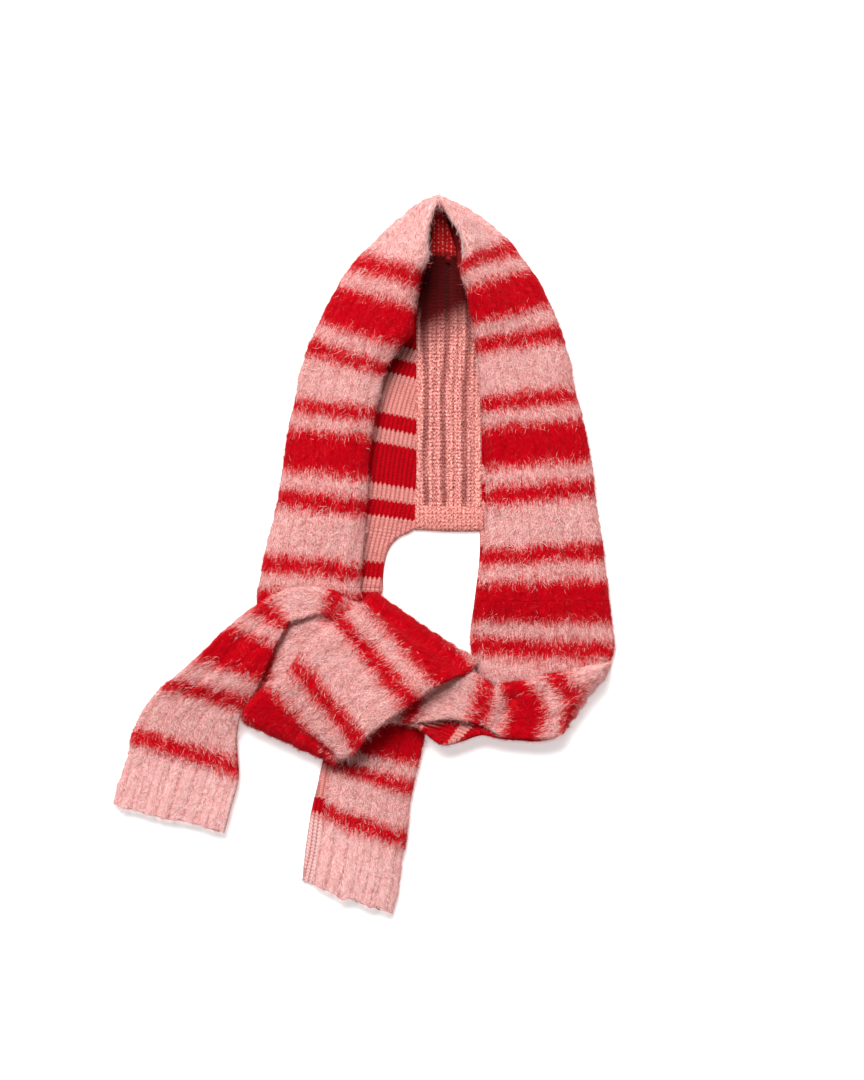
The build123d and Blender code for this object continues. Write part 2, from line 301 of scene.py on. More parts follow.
right_tail = [
    flat((-92, -20), (-104, -42), 1.0, 800, up=False, thick=12, edge=10),
    flat((-119, 0), (-125, -24), 1.25, 832, up=False),
    flat((-150, 4), (-146, -28), 1.35, 860, up=False),
    flat((-192, -16), (-160, -34), 1.35, (892, 886), up=False),
    flat((-218, -36), (-171, -52), 1.35, 914, up=False),
    flat((-252, -69), (-187, -88), 1.2, (958, 954), up=False),
    flat((-274, -88), (-197, -107), 0.85, 975, up=False),
    flat((-287, -98), (-207, -121), 0.5, 992, up=False),
    flat((-303, -118), (-213, -143), 0.2, 1016, up=False),
    flat((-312, -138), (-213, -167), 0.0, 1040, up=False),
    flat((-317, -154), (-212, -188), 0.0, 1059, up=False),
    flat((-326, -184), (-219, -216), 0.0, 1089, up=False),
    flat((-335, -214), (-226, -242), 0.0, CUFF_END, up=False),
]
left_tail = [
    flat((-18, -96), (-97, -74), 0.0, 878),
    flat((-25, -157), (-110, -130), 0.0, 936, short=(9, 0)),
    flat((-30, -178), (-117, -152), 0.0, (960, 950), short=(9, 0)),
    flat((-35, -200), (-123, -172), 0.0, 983, short=(9, 0)),
    flat((-40, -228), (-129, -198), 0.0, 1022, short=(11, 0)),
    flat((-44, -250), (-134, -219), 0.0, 1050, short=(13, 0)),
    flat((-48, -285), (-140, -255), 0.0, 1084, short=(12, 0)),
    flat((-56, -324), (-144, -293), 0.0, CUFF_END, short=(11, 0)),
]


def swept(rows):
    """Stations joined by a smooth spline, sampled about STEP apart. Also where each station falls."""
    rows = np.array(rows, float)
    moves = (np.diff(rows[:, end], axis=0) for end in (FOLD, FREE))
    gaps = np.maximum(*(np.linalg.norm(move, axis=1) for move in moves))
    at = np.concatenate([[0], np.cumsum(np.maximum(gaps, 1))])
    slope = np.diff(rows, axis=0) / np.diff(at)[:, None]
    tangent = np.empty_like(rows)
    tangent[0], tangent[-1] = slope[0], slope[-1]
    before, after = np.diff(at)[:-1, None], np.diff(at)[1:, None]
    tangent[1:-1] = (slope[:-1] * after + slope[1:] * before) / (before + after)
    out, marks = [rows[:1]], [0]
    for i in range(len(rows) - 1):
        width = at[i + 1] - at[i]
        count = max(2, math.ceil(width / STEP))
        f = (np.arange(1, count + 1) / count)[:, None]
        h = [2 * f**3 - 3 * f**2 + 1, f**3 - 2 * f**2 + f, 3 * f**2 - 2 * f**3, f**3 - f**2]
        ends = rows[i], tangent[i] * width, rows[i + 1], tangent[i + 1] * width
        out.append(sum(weight * end for weight, end in zip(h, ends)))
        marks.append(marks[-1] + count)
    return np.concatenate(out), marks


def profile(row, counts):
    """The folded sheet's middle line at a station, as x from the fold, height, and signed reach."""
    width = np.linalg.norm(row[FREE] - row[FOLD])
    front, back = width - row[SHORT_FRONT], width - row[SHORT_BACK]
    thick, edge = row[FOLD_HEIGHT], row[EDGE_HEIGHT]
    radius = thick / 2
    nb, na, nf = counts
    xb = np.linspace(back, radius, nb)
    yb = np.full(nb, KNIT / 2) + 0.8 * np.sin(np.linspace(0, math.pi, nb))
    turn = np.radians(np.linspace(-90, -270, na + 2)[1:-1])
    xa = radius + (radius - KNIT / 2) * np.cos(turn)
    ya = radius + (radius - KNIT / 2) * np.sin(turn)
    f = np.linspace(0, 1, nf)
    xf = radius + (front - radius) * f
    puff = 1.5 + 0.035 * min(width, 120)
    rise = f * f * (3 - 2 * f) * 0.5 + f * 0.5
    yf = thick - KNIT / 2 + (edge - thick) * rise + puff * np.sin(math.pi * f) ** 0.8
    drop = EDGE_DROP + 0.25 * max(edge - EDGE_FREE, 0)
    yf = yf - drop * np.clip(1 - (front - xf) / EDGE_REACH, 0, 1) ** 2
    x, y = np.concatenate([xb, xa, xf]), np.concatenate([yb, ya, yf])
    length = np.concatenate([[0], np.cumsum(np.hypot(np.diff(x), np.diff(y)))])
    middle = length[nb + na // 2]
    return x, y, length - middle


def knit_relief(s, t, outer):
    """How far the knit stands out, from its ribs, its brushing and its slight wrinkles."""
    cuff = np.clip((np.abs(s) - CUFF_START) / 6, 0, 1)
    body_rib = 0.4 * np.cos(2 * math.pi * t / BODY_RIB)
    rib_place = (t + 1.6 * broad(s / 22, t / 14)) / CUFF_RIB
    cuff_rib = 1.5 * (np.abs(np.cos(math.pi * rib_place)) ** 0.6 - 0.8)
    wrinkle = 2.2 * broad(s / 62, t / 48 + 9) * (1 - cuff) + 0.8 * middling(s / 22, t / 17 + 5)
    if outer:
        fuzz = 0.55 * middling(s / 6, t / 4.5) + 0.45 * fine(s / 2.6, t / 2.2)
        return body_rib * (1 - cuff) + cuff_rib * cuff + wrinkle + fuzz
    rib = 0.9 * (np.abs(np.cos(math.pi * t / (2 * COLUMN))) ** 0.6 - 0.6)
    row = s / 3.7 + 0.7 * np.abs((t / COLUMN) % 1 - 0.5)
    stitch = 0.35 * np.cos(2 * math.pi * row) + 0.5 * fine(s / 3, t / 3)
    return rib * (1 - cuff) - cuff_rib * cuff + wrinkle * -0.8 + stitch


def surface_normals(grid):
    """Unit normals of a grid of points, path first and section second."""
    along = np.gradient(grid, axis=0)
    across = np.gradient(grid, axis=1)
    normal = np.cross(along, across)
    return normal / np.maximum(np.linalg.norm(normal, axis=2, keepdims=True), 1e-9)


# Creases: (x, y) of both ends, depth and half width, on knit that faces up
CREASES = [
    ((56, -92), (63, -110), 6.0, 5.0),
    ((63, -110), (50, -134), 4.5, 5.0),
    ((28, -88), (46, -104), 2.5, 4.0),
    ((104, -84), (97, -104), 2.0, 6.0),
    ((-165, -12), (-205, -50), 2.5, 7.0),
    ((-205, -50), (-240, -84), 1.5, 8.0),
    ((-120, -32), (-75, -62), 2.0, 6.0),
]


def dents(points, side):
    """How far the creases lower each point."""
    down = np.zeros(points.shape[:2])
    for a, b, depth, width in CREASES:
        a, b = np.array(a, float), np.array(b, float)
        off = points[..., :2] - a
        share = np.clip(off @ (b - a) / np.dot(b - a, b - a), 0, 1)
        gap = np.linalg.norm(off - share[..., None] * (b - a), axis=2)
        down += depth * np.exp(-((gap / width) ** 2))
    return down * np.clip(side[..., 2] * 2 - 0.2, 0, 1) * (points[..., 2] > 22)


def on_table(z):
    """Heights kept above the table, with a soft limit."""
    return np.where(z < 1.6, 1.6 * np.exp(np.minimum(z - 1.6, 0) / 1.6), z)


def sheet_surfaces(rows):
    """The outer and inner faces of the folded sheet through sampled rows, with s and t at each point."""
    widest = np.max(np.linalg.norm(rows[:, FREE] - rows[:, FOLD], axis=1))
    counts = (math.ceil(widest / STEP), 14, math.ceil(widest / STEP))
    middle, side, s_all, t_all = [], [], [], []
    for row in rows:
        x, y, t = profile(row, counts)
        way = row[FREE] - row[FOLD]
        way /= np.linalg.norm(way)
        face = row[FACING] - np.dot(row[FACING], way) * way
        face /= np.linalg.norm(face)
        tangent = np.stack([np.gradient(x), np.gradient(y)], 1)
        tangent /= np.linalg.norm(tangent, axis=1, keepdims=True)
        middle.append(row[FOLD] + x[:, None] * way + y[:, None] * face)
        side.append(-tangent[:, 1:2] * way + tangent[:, 0:1] * face)
        s_fold, s_front, s_back = row[ALONG]
        share = np.abs(t) / np.where(t > 0, t[-1], -t[0])
        curve = row[BOW] * np.sin(math.pi * share)
        s_all.append(s_fold + share * (np.where(t > 0, s_front, s_back) - s_fold) + curve)
        t_all.append(t)
    middle, side = np.array(middle), np.array(side)
    s, t = np.array(s_all), np.array(t_all)
    ragged = 2.4 * broad(t / 13, s * 0 + 2) + 1.0 * middling(t / 4, s * 0)
    along = np.gradient(middle, axis=0)
    along /= np.maximum(np.linalg.norm(along, axis=2, keepdims=True), 1e-9)
    middle = middle + along * (ragged * np.clip((s - CUFF_END + 24) / 24, 0, 1))[..., None]
    faces = []
    for outer in (True, False):
        points = middle + side * (KNIT / 2 if outer else -KNIT / 2)
        normal = side if outer else -side
        fade = np.minimum(1, (t - t[:, :1]) / 6 + 0.2) * np.minimum(1, (t[:, -1:] - t) / 6 + 0.2)
        points = points + normal * (knit_relief(s, t, outer) * fade)[..., None]
        points[..., 2] = on_table(points[..., 2] - dents(points, side))
        faces.append(points)
    return faces[0], faces[1], side, s, t


def link(obj):
    bpy.context.scene.collection.objects.link(obj)
    return obj


def new_mesh(name, points, quads, materials, facts=None, index=None):
    """A mesh object from layout points and faces. facts is (s, t, side) for each point."""
    mesh = bpy.data.meshes.new(name)
    mesh.from_pydata(to_frame(points).tolist(), [], quads)
    if facts is not None:
        attribute = mesh.attributes.new("knit", "FLOAT_VECTOR", "POINT")
        attribute.data.foreach_set("vector", np.asarray(facts, np.float32).ravel())
    for material in materials:
        mesh.materials.append(material)
    if index is not None:
        mesh.polygons.foreach_set("material_index", index)
    mesh.polygons.foreach_set("use_smooth", [True] * len(mesh.polygons))
    mesh.update()
    return link(bpy.data.objects.new(name, mesh))


def folded_sheet(name, rows, materials, sewn=False):
    """One length of the folded band as a closed mesh. Also its outer face and free edges, for the pile.

    The back edge is sewn to the gusset in the hood, and has no pile there.
    """
    outer, inner, side, s, t = sheet_surfaces(rows)
    n, m = s.shape
    edges, ways = [], []
    for j in (-1, 0):
        out = np.cross(np.gradient(outer[:, j], axis=0), outer[:, j] - inner[:, j])
        out /= np.linalg.norm(out, axis=1, keepdims=True)
        beyond = np.sum(out * (outer[:, j] - outer[:, -2 if j else 1]), axis=1)
        out *= np.sign(np.median(beyond))
        rim = (outer[:, j] + inner[:, j]) / 2 + out * KNIT * 0.42
        rim[:, 2] = on_table(rim[:, 2])
        edges.append(rim)
        ways.append(out)
    loop = np.concatenate([outer, edges[0][:, None], inner[:, ::-1], edges[1][:, None]], axis=1)
    wide = loop.shape[1]
    loop_s = np.concatenate([s, s[:, -1:], s[:, ::-1], s[:, :1]], axis=1)
    loop_t = np.concatenate([t, t[:, -1:], t[:, ::-1], t[:, :1]], axis=1)
    within = np.concatenate([np.zeros(m), [0.5], np.ones(m), [0.5]])
    facts = np.stack([loop_s, loop_t, np.broadcast_to(within, loop_s.shape)], axis=2)
    i, j = np.meshgrid(np.arange(n - 1), np.arange(wide), indexing="ij")
    after = (j + 1) % wide
    quads = np.stack([i * wide + j, i * wide + after, (i + 1) * wide + after, (i + 1) * wide + j], 2)
    quads = quads.reshape(-1, 4)
    caps = []
    for start, turned in ((0, False), ((n - 1) * wide, True)):
        ring = np.concatenate([[wide - 1], np.arange(m), [m]])
        mate = np.concatenate([[wide - 1], 2 * m - np.arange(m), [m]])
        for a in range(len(ring) - 1):
            corners = [ring[a], mate[a], mate[a + 1], ring[a + 1]]
            corners = [start + c for k, c in enumerate(corners) if c not in corners[:k]]
            caps.append(corners[::-1] if turned else corners)
    normal = surface_normals(outer)
    inside_out = np.median(np.sum(normal * side, axis=2)) < 0
    faces = quads.tolist() + caps
    if not inside_out:
        faces = [face[::-1] for face in faces]
    obj = new_mesh(name, loop.reshape(-1, 3), faces, materials, facts.reshape(-1, 3))
    # flat end faces, so that the shading runs on unbroken where two lengths meet
    obj.data.polygons.foreach_set("use_smooth", [True] * len(quads) + [False] * len(caps))
    ends = (1,) if sewn else (0, 1)
    for end in ends[::-1]:
        at = 0 if end == 0 else s.shape[1]
        other = 1 - end
        outer = np.insert(outer, at, edges[other], axis=1)
        side = np.insert(side, at, ways[other], axis=1)
        s, t = (np.insert(v, at, v[:, 0 if end == 0 else -1], axis=1) for v in (s, t))
    return obj, (outer, side, s, t)


# ------------------------------------------------------------------ materials
class Nodes:
    """Short calls for a material's node tree."""

    def __init__(self, name):
        self.material = bpy.data.materials.new(name)
        self.material.use_nodes = True
        self.tree = self.material.node_tree
        self.shader = self.tree.nodes["Principled BSDF"]

    def new(self, kind, **sockets):
        node = self.tree.nodes.new(kind)
        for key, value in sockets.items():
            self.put(node.inputs[key], value)
        return node

    def put(self, socket, value):
        if isinstance(value, bpy.types.NodeSocket):
            self.tree.links.new(value, socket)
        else:
            socket.default_value = value

    def math(self, operation, *values, clamp=False):
        node = self.tree.nodes.new("ShaderNodeMath")
        node.operation, node.use_clamp = operation, clamp
        for socket, value in zip(node.inputs, values):
            self.put(socket, value)
        return node.outputs[0]

    def mix(self, factor, a, b):
        node = self.tree.nodes.new("ShaderNodeMix")
        node.data_type = "RGBA"
        for index, value in ((0, factor), (6, a), (7, b)):  # 6, 7 and output 2 are its colour sockets
            self.put(node.inputs[index], value)
        return node.outputs[2]

    def combine(self, x, y, z):
        return self.new("ShaderNodeCombineXYZ", X=x, Y=y, Z=z).outputs[0]

    def noise(self, place, grain, layer, detail=2.0, roughness=0.5):
        """Noise whose grain is so many millimetres in s and t. layer picks one of many such noises."""
        across, up = (self.math("DIVIDE", value, size) for value, size in zip(place, grain))
        vector = self.combine(across, up, layer)
        settings = {"Vector": vector, "Scale": 1.0, "Detail": detail, "Roughness": roughness}
        return self.new("ShaderNodeTexNoise", **settings).outputs["Fac"]

    def ramp(self, factor, stops):
        node = self.tree.nodes.new("ShaderNodeValToRGB")
        elements = node.color_ramp.elements
        while len(elements) < len(stops):
            elements.new(0.5)
        for element, (place, value) in zip(elements, stops):
            element.position = place
            element.color = (value, value, value, 1)
        self.put(node.inputs[0], factor)
        return node.outputs[0]

    def facts(self):
        """The three numbers that a mesh keeps at each of its points."""
        stored = self.new("ShaderNodeAttribute")
        stored.attribute_name = "knit"
        return self.new("ShaderNodeSeparateXYZ", Vector=stored.outputs["Vector"]).outputs

    def wool(self, colour, height, depth):
        """The finish of a surface of knit, with a fine bump so many metres deep."""
        self.put(self.shader.inputs["Base Color"], colour)
        self.shader.inputs["Roughness"].default_value = 0.95
        self.shader.inputs["Sheen Weight"].default_value = 0.04
        self.shader.inputs["Sheen Roughness"].default_value = 0.5
        self.shader.inputs["Specular IOR Level"].default_value = 0.03
        bump = self.new("ShaderNodeBump", Strength=0.9, Distance=depth, Height=height)
        self.put(self.shader.inputs["Normal"], bump.outputs["Normal"])
        return self.material


def linear(r, g, b):
    """An sRGB colour in 0..255 as a linear one."""
    shares = [c / 255 for c in (r, g, b)]
    return (*(c / 12.92 if c <= 0.04045 else ((c + 0.055) / 1.055) ** 2.4 for c in shares), 1)


PINK, PINK_DEEP, PINK_PALE = linear(204, 136, 131), linear(156, 70, 66), linear(233, 190, 186)
RED, RED_DEEP, RED_BRIGHT = linear(182, 0, 16), linear(126, 0, 6), linear(206, 6, 24)
# the two gap colours are painted shade between the stitches of the reverse
PINK_REVERSE, PINK_GAP_SHADE, RED_GAP_SHADE = linear(220, 128, 118), linear(128, 52, 48), linear(96, 0, 6)
# the crown's reverse: red, darkened with painted shade; and the light flecks of stretched stitches
CROWN_REVERSE_RED_AND_SHADE, CROWN_FLECK = linear(150, 26, 28), linear(236, 138, 128)
# painted shade of the crown's hollow, then the crimson knit above it
HOLLOW_SHADE, HOLLOW_TOP = linear(72, 8, 10), linear(190, 24, 28)


def knit_material(name):
    """The striped knit: brushed on its outer side, and crisp, with plain stitches, on its reverse."""
    n = Nodes(name)
    s, t, side = n.facts()
    brushed = n.math("SUBTRACT", 1.0, side, clamp=True)
    # long fibres carry each colour past its stripe's edge
    hairs = n.noise((s, t), (9.0, 1.5), 0.0, 3.0, 0.6)
    tufts = n.noise((s, t), (9.0, 8.0), 3.0)
    spread = n.math("ADD", n.math("MULTIPLY", n.math("SUBTRACT", hairs, 0.5), 7.0 * FRINGE),
                    n.math("MULTIPLY", n.math("SUBTRACT", tufts, 0.5), 2.4 * FRINGE))
    zigzag = n.math("MULTIPLY", n.math("PINGPONG", t, COLUMN / 2), 1.5)
    uneven = n.math("ADD", zigzag, n.math("MULTIPLY", hairs, 5.0))
    shift = n.math("ADD", n.math("MULTIPLY", spread, brushed), n.math("MULTIPLY", uneven, side))
    along = n.math("SUBTRACT", n.math("ADD", s, shift), FIRST_STRIPE)
    along = n.math("MAXIMUM", along, -REPEAT / 4)
    along = n.math("MINIMUM", along, LAST_STRIPE)
    phase = n.math("DIVIDE", n.math("FLOORED_MODULO", along, REPEAT), REPEAT)
    stops, start = [], 0.0
    for end, colour in STRIPES:
        if colour:
            stops += [(max(start - 0.4, 0) / REPEAT, 0.0), ((start + 0.4) / REPEAT, 1.0)]
            stops += [((end - 0.4) / REPEAT, 1.0), ((end + 0.4) / REPEAT, 0.0)]
        start = end
    crisp = n.ramp(phase, stops)
    soft = n.ramp(phase, SOFT_STRIPES)
    red = n.math("ADD", n.math("MULTIPLY", soft, brushed), n.math("MULTIPLY", crisp, side))
    # the yarn's own unevenness
    speck = n.noise((s, t), (2.4, 1.1), 7.0, 3.0, 0.7)
    cloud = n.noise((s, t), (24.0, 18.0), 1.0)
    light = n.ramp(speck, [(0.42, 0.0), (0.66, 1.0)])
    shade = n.ramp(n.math("ADD", n.math("MULTIPLY", speck, 0.75), n.math("MULTIPLY", cloud, 0.25)),
                   [(0.34, 1.0), (0.52, 0.0)])
    pink = n.mix(n.math("MULTIPLY", light, 0.8), PINK, PINK_PALE)
    pink = n.mix(n.math("MULTIPLY", shade, 0.8), pink, PINK_DEEP)
    in_cuff = n.math("MULTIPLY", n.math("SUBTRACT", s, CUFF_START), 0.2, clamp=True)
    pink = n.mix(n.math("MULTIPLY", side, 0.5), pink, PINK_REVERSE)
    pink = n.mix(n.math("MULTIPLY", in_cuff, 0.75), pink, PINK_PALE)
    deep = n.mix(n.math("MULTIPLY", light, 0.35), RED, RED_BRIGHT)
    deep = n.mix(n.math("MULTIPLY", shade, 0.6), deep, RED_DEEP)
    colour = n.mix(red, pink, deep)
    # painted shade in the grooves between the ribs, plain in the cuffs and faint under the brushed pile
    sway = n.math("MULTIPLY", n.math("SUBTRACT", tufts, 0.5), 3.0)
    across = n.math("ADD", t, sway)
    cuff_wave = n.math("DIVIDE", n.math("PINGPONG", across, CUFF_RIB / 2), CUFF_RIB / 2)
    body_wave = n.math("DIVIDE", n.math("PINGPONG", t, BODY_RIB / 2), BODY_RIB / 2)
    strong = n.math("MULTIPLY", n.math("MULTIPLY", n.math("POWER", cuff_wave, 6.0), 0.5), in_cuff)
    faint = n.math("MULTIPLY", n.math("POWER", body_wave, 8.0), cloud)
    groove_shade = n.math("ADD", strong, faint, clamp=True)
    colour = n.mix(n.math("MULTIPLY", groove_shade, brushed), colour, n.mix(red, PINK_DEEP, RED_DEEP))
    # on the reverse, painted shade in the gaps between stitches
    column = n.math("PINGPONG", t, COLUMN / 2)
    row = n.math("PINGPONG", n.math("ADD", s, n.math("MULTIPLY", column, 1.1)), 1.6)
    pit = n.math("MULTIPLY", n.math("MULTIPLY", column, row), n.math("ADD", speck, 0.5))
    gap = n.math("MULTIPLY", n.math("LESS_THAN", pit, 0.62), side)
    colour = n.mix(n.math("MULTIPLY", gap, 0.65), colour, n.mix(red, PINK_GAP_SHADE, RED_GAP_SHADE))
    # inside the crown the reverse is red, darkened with painted shade
    in_crown = n.math("MULTIPLY", n.math("SUBTRACT", FIRST_STRIPE, s), 0.1, clamp=True)
    colour = n.mix(n.math("MULTIPLY", in_crown, side), colour, CROWN_REVERSE_RED_AND_SHADE)
    return n.wool(colour, speck, 0.0016)


def rib_material(name, shades, deep=0.0):
    """Plain pink knit, with painted shade in the gaps between its small stitches. deep is how far its
    upper end takes on the painted shade of the crown's hollow, and the crimson above it.

    shades are the yarn's dark and light, and the painted shade of the gaps and of the grooves.
    """
    n = Nodes(name)
    s, t, groove_shade = n.facts()
    dark_yarn, light_yarn, gap_shade_colour, groove_shade_colour = shades
    speck = n.noise((s, t), (2.3, 1.7), 0.0, 3.0, 0.7)
    column = n.math("PINGPONG", t, STITCH / 2)
    wander = n.noise((s, t), (5.0, 4.0), 5.0)
    slope = n.math("ADD", n.math("MULTIPLY", column, 1.25), n.math("MULTIPLY", wander, 9.0))
    row = n.math("PINGPONG", n.math("ADD", s, slope), 2.1)
    inward = n.math("MULTIPLY", n.math("ADD", column, 0.5), row)
    pit = n.math("MULTIPLY", inward, n.math("ADD", speck, 0.1))
    gap = n.ramp(pit, [(0.12, 1.0), (0.95, 0.0)])
    base = n.mix(n.ramp(speck, [(0.40, 0.0), (0.62, 1.0)]), dark_yarn, light_yarn)
    # painted shade in the gaps between stitches, and in the gusset's grooves
    colour = n.mix(n.math("MULTIPLY", gap, 0.8), base, gap_shade_colour)
    colour = n.mix(n.math("MULTIPLY", groove_shade, 0.7), colour, groove_shade_colour)
    # deep inside the crown, painted shade darkens the knit towards the hollow;
    # above it the knit is red, with light flecks where the stitches are stretched
    ragged = n.math("ADD", s, n.math("MULTIPLY", speck, 44.0))
    height = n.math("SUBTRACT", ragged, n.math("MULTIPLY", t, 0.5))
    painted_hollow_shade = n.math("MULTIPLY", n.math("SUBTRACT", height, HOLLOW_SHADE_FROM), 0.026, clamp=True)
    crimson = n.math("MULTIPLY", n.math("SUBTRACT", s, CRIMSON_FROM), 0.15, clamp=True)
    stretch = n.math("MULTIPLY", n.math("MULTIPLY", column, row), n.math("ADD", speck, 0.2))
    fleck = n.math("GREATER_THAN", stretch, 1.8)
    inside = n.mix(crimson, HOLLOW_SHADE, HOLLOW_TOP)
    inside = n.mix(n.math("MULTIPLY", fleck, crimson), inside, CROWN_FLECK)
    colour = n.mix(n.math("MULTIPLY", painted_hollow_shade, deep), colour, inside)
    return n.wool(colour, speck, 0.0014)


def fibre_material(name, colour):
    """One shade of loose mohair fibre."""
    n = Nodes(name)
    n.shader.inputs["Base Color"].default_value = colour
    n.shader.inputs["Roughness"].default_value = 0.85
    n.shader.inputs["Specular IOR Level"].default_value = 0.03
    return n.material


KNIT_LOOK = knit_material("striped_knit")
# the yarn's dark and light, then painted shade for the gaps and for the grooves
RIB_SHADES = (linear(198, 108, 100), linear(248, 186, 176), linear(132, 46, 44), linear(104, 34, 34))
GUSSET_LOOK = rib_material("gusset_knit", RIB_SHADES, 1.0)
HEM_LOOK = rib_material("hem_knit", (linear(196, 116, 108), linear(230, 164, 154), *RIB_SHADES[2:]))
FIBRES = [
    fibre_material("fibre_pink_pale", linear(242, 210, 206)),
    fibre_material("fibre_pink", linear(226, 160, 155)),
    fibre_material("fibre_rose", linear(172, 86, 82)),
    fibre_material("fibre_coral", linear(218, 74, 76)),
    fibre_material("fibre_red", linear(204, 2, 24)),
    fibre_material("fibre_red_deep", linear(162, 0, 12)),
]


# ------------------------------------------------------------------ pile
def pile(name, face):
    """Loose brushed fibres on the outer face of a sheet, each one a thin tapered blade."""
    points, side, s, t = face
    ds, dt = np.gradient(points, axis=0), np.gradient(points, axis=1)
    area = np.linalg.norm(np.cross(ds, dt), axis=2)
    upward = np.clip(side[..., 2] + 1.0, 0, 1)
    cuff = np.clip((s - CUFF_START) / 8, 0, 1)
    weight = area * PILE_DENSITY * (0.08 + 0.92 * upward) * (1 + 0.5 * cuff)
    count = min(int(weight.sum()), MOST_FIBRES)
    pick = rng.choice(weight.size, count, p=(weight / weight.sum()).ravel())
    i, j = np.unravel_index(pick, weight.shape)
    along = ds[i, j] / np.maximum(np.linalg.norm(ds[i, j], axis=1, keepdims=True), 1e-6)
    across = dt[i, j] / np.maximum(np.linalg.norm(dt[i, j], axis=1, keepdims=True), 1e-6)
    normal = side[i, j]
    root = points[i, j] + ds[i, j] * rng.uniform(-0.5, 0.5, (count, 1))
    root = root + dt[i, j] * rng.uniform(-0.5, 0.5, (count, 1))
    root = root - normal * 0.6
    fs, ft, fc = s[i, j], t[i, j], cuff[i, j]
    turn = 1.1 * swirl(fs / 16, ft / 13) + rng.normal(0, 0.6, count)
    turn = turn + math.pi * (rng.random(count) < 0.4)
    heading = along * np.cos(turn)[:, None] + across * np.sin(turn)[:, None]
    size = rng.uniform(*FIBRE_LENGTH, count)
    size = size * rng.choice([0.6, 1.0, 1.35], count, p=[0.4, 0.45, 0.15]) * (1 - 0.3 * fc)
    lift = rng.uniform(0.08, 0.5, count) * rng.choice([1.0, 2.2], count, p=[0.85, 0.15])
    bend = np.cross(normal, heading)
    curl = rng.normal(0, 0.22, count)[:, None] * bend
    middle = root + (heading + curl) * (size * 0.5)[:, None] + normal * (size * lift * 0.55)[:, None]
    tip_lift = size * lift * rng.uniform(0.3, 1.0, count)
    tip = root + (heading + curl * -0.6) * (size * 0.95)[:, None] + normal * tip_lift[:, None]
    half = bend * FIBRE_WIDTH * 0.5
    low = KNIT * 0.12
    for p in (root, middle, tip):
        p[:, 2] = np.maximum(p[:, 2], low)
    narrow = half * 0.8
    corners = [root - half, root + half, middle + narrow, middle - narrow, tip]
    corners = np.stack(corners, axis=1)
    base = np.arange(count)[:, None] * 5
    quads, tips = base + [0, 1, 2, 3], base + [3, 2, 4]
    place = fs + FRINGE * 0.8 * fringe(fs / 9, ft / 8)
    red = is_red(place + FRINGE * rng.normal(0, 0.8, count))
    mixed = (is_red(place + FRINGE) != is_red(place - FRINGE)) & (rng.random(count) < 0.42)
    shade = rng.random(count)
    # the cuffs take more pale fibres: partly their paler knit, partly painted light
    pale = np.where(np.abs(fs) < FIRST_STRIPE, 0.62, 0.36 + 0.48 * fc)
    pink_slot = np.select([shade < pale, shade < 0.70, shade < 0.985], [0, 1, 2], 3)
    red_slot = np.select([shade < 0.02, shade < 0.5], [3, 4], 5)
    red_slot = np.where(mixed, 3, red_slot)
    slot = np.where(red, red_slot, pink_slot)
    faces = quads.tolist() + tips.tolist()
    return new_mesh(name, corners.reshape(-1, 3), faces, FIBRES, index=np.concatenate([slot, slot]))


# ------------------------------------------------------------------ pieces
chain = [*wrap, *left_fall, *left_side, *crown, *right_side, *right_fall, *right_turn, *right_pass]
chain_rows, marks = swept(chain)
lengths = [
    ("wrap_cloth", len(wrap) - 1, ["knot_wrap"]),
    ("left_fall_cloth", len(left_fall) + 1, ["left_tail_fall"]),
    ("left_hood_cloth", len(left_side) - 1, ["hood_left_side"]),
    ("crown_cloth", len(crown) + 1, ["crown_band"]),
    ("right_hood_cloth", len(right_side) - 1, ["hood_right_side"]),
    ("right_fall_cloth", len(right_fall), ["right_tail_fall"]),
    ("right_turn_cloth", len(right_turn), ["right_tail_turn"]),
    ("right_pass_cloth", len(right_pass), ["right_tail_pass"]),
]


def dress(name, rows, nodes, blend=None):
    """Makes one length of cloth with its pile and hangs both on the scarf, or, given a blend, bakes
    their places into their meshes. Hides the parts that they stand for.
    """
    cloth, face = folded_sheet(name, rows, [KNIT_LOOK], sewn="hood" in name or "crown" in name)
    hairs = pile(name.replace("cloth", "pile"), face)
    for piece in (cloth, hairs):
        if blend:
            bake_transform(piece)
        else:
            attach(piece, "scarf")
    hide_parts(*nodes)


start = 0
for name, count, nodes in lengths:
    stop = start + count
    dress(name, chain_rows[marks[start] : marks[stop] + 1], nodes)
    start = stop


def hinge_span(name):
    """Two points, HINGE_BEND either side of a tail's hinge, across its axis."""
    joint = hinges[name]
    middle, axis = np.array(joint["pos_m"]), np.array(joint["axis"])
    outward = np.cross((0, 0, 1), axis)
    return middle - outward * HINGE_BEND, middle + outward * HINGE_BEND


left_rows, _ = swept(left_tail)
right_rows, _ = swept(right_tail)
dress("left_tail_cloth", left_rows, ["left_tail_lead", "left_tail_end", "left_cuff"],
      ("left_tail", hinge_span("left_tail_lift")))
dress("right_tail_cloth", right_rows, ["right_tail_bend", "right_tail_end", "right_cuff"],
      ("right_tail", hinge_span("right_tail_lift")))


# ------------------------------------------------------------------ gusset, hem and seams
GROOVES = (-23.0, -3.3, 17.5)  # x of the gusset's deep grooves between its ribs
HALF_GROOVES = (-13.5, 7.0, 24.5)  # and of its slight ones
# (y, x) of the gusset's edges inside the crown, past the hood's seams
LEFT_TOP, RIGHT_TOP = [(345, -18), (375, -14)], [(340, 6), (375, -6)]


def seam_edge(rows, y):
    """x of the gusset's edge beside a run of seam."""
    ys, xs = zip(*sorted((row[0], row[1]) for row in rows))
    return np.interp(y, ys, xs)


